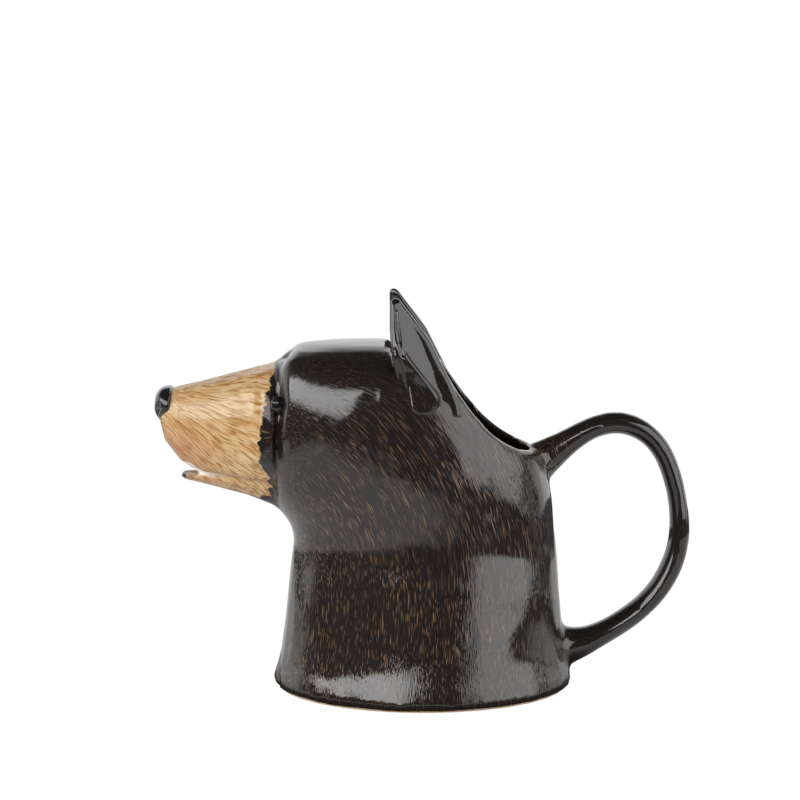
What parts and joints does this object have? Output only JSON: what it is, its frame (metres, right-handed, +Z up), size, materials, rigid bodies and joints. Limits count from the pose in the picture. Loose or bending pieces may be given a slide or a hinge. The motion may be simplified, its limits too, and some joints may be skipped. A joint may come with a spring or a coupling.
{
  "type": "figural jug",
  "caption": "Glazed earthenware jug shaped as a bear's head and neck, open at the back of the head for filling, with a strap handle; it pours through the slightly open mouth.",
  "frame": {"origin": "on the table, under the middle of the object's bounding box, which is the middle of the foot to half a millimetre", "axes": "+Z up; the nose points along -X and the handle stands out along +X; Y = 0 is the plane of symmetry, with the bear's left ear at -Y"},
  "size_m": [0.2113, 0.1106, 0.1547],
  "materials": {
    "dark_glaze": "glossy near-black brown glaze over combed fur strokes",
    "tan_glaze": "glossy cream to tan glaze with brown fur strokes",
    "black_glaze": "glossy black glaze",
    "bare_clay": "matt unglazed clay"
  },
  "bodies": {
    "root": {"head_shell": "dark_glaze", "muzzle": "tan_glaze", "lower_jaw": "tan_glaze", "nose": "black_glaze", "left_eye": "black_glaze", "right_eye": "black_glaze", "left_ear": "dark_glaze", "right_ear": "dark_glaze", "handle": "dark_glaze", "foot_ring": "bare_clay"}
  },
  "joints": []
}
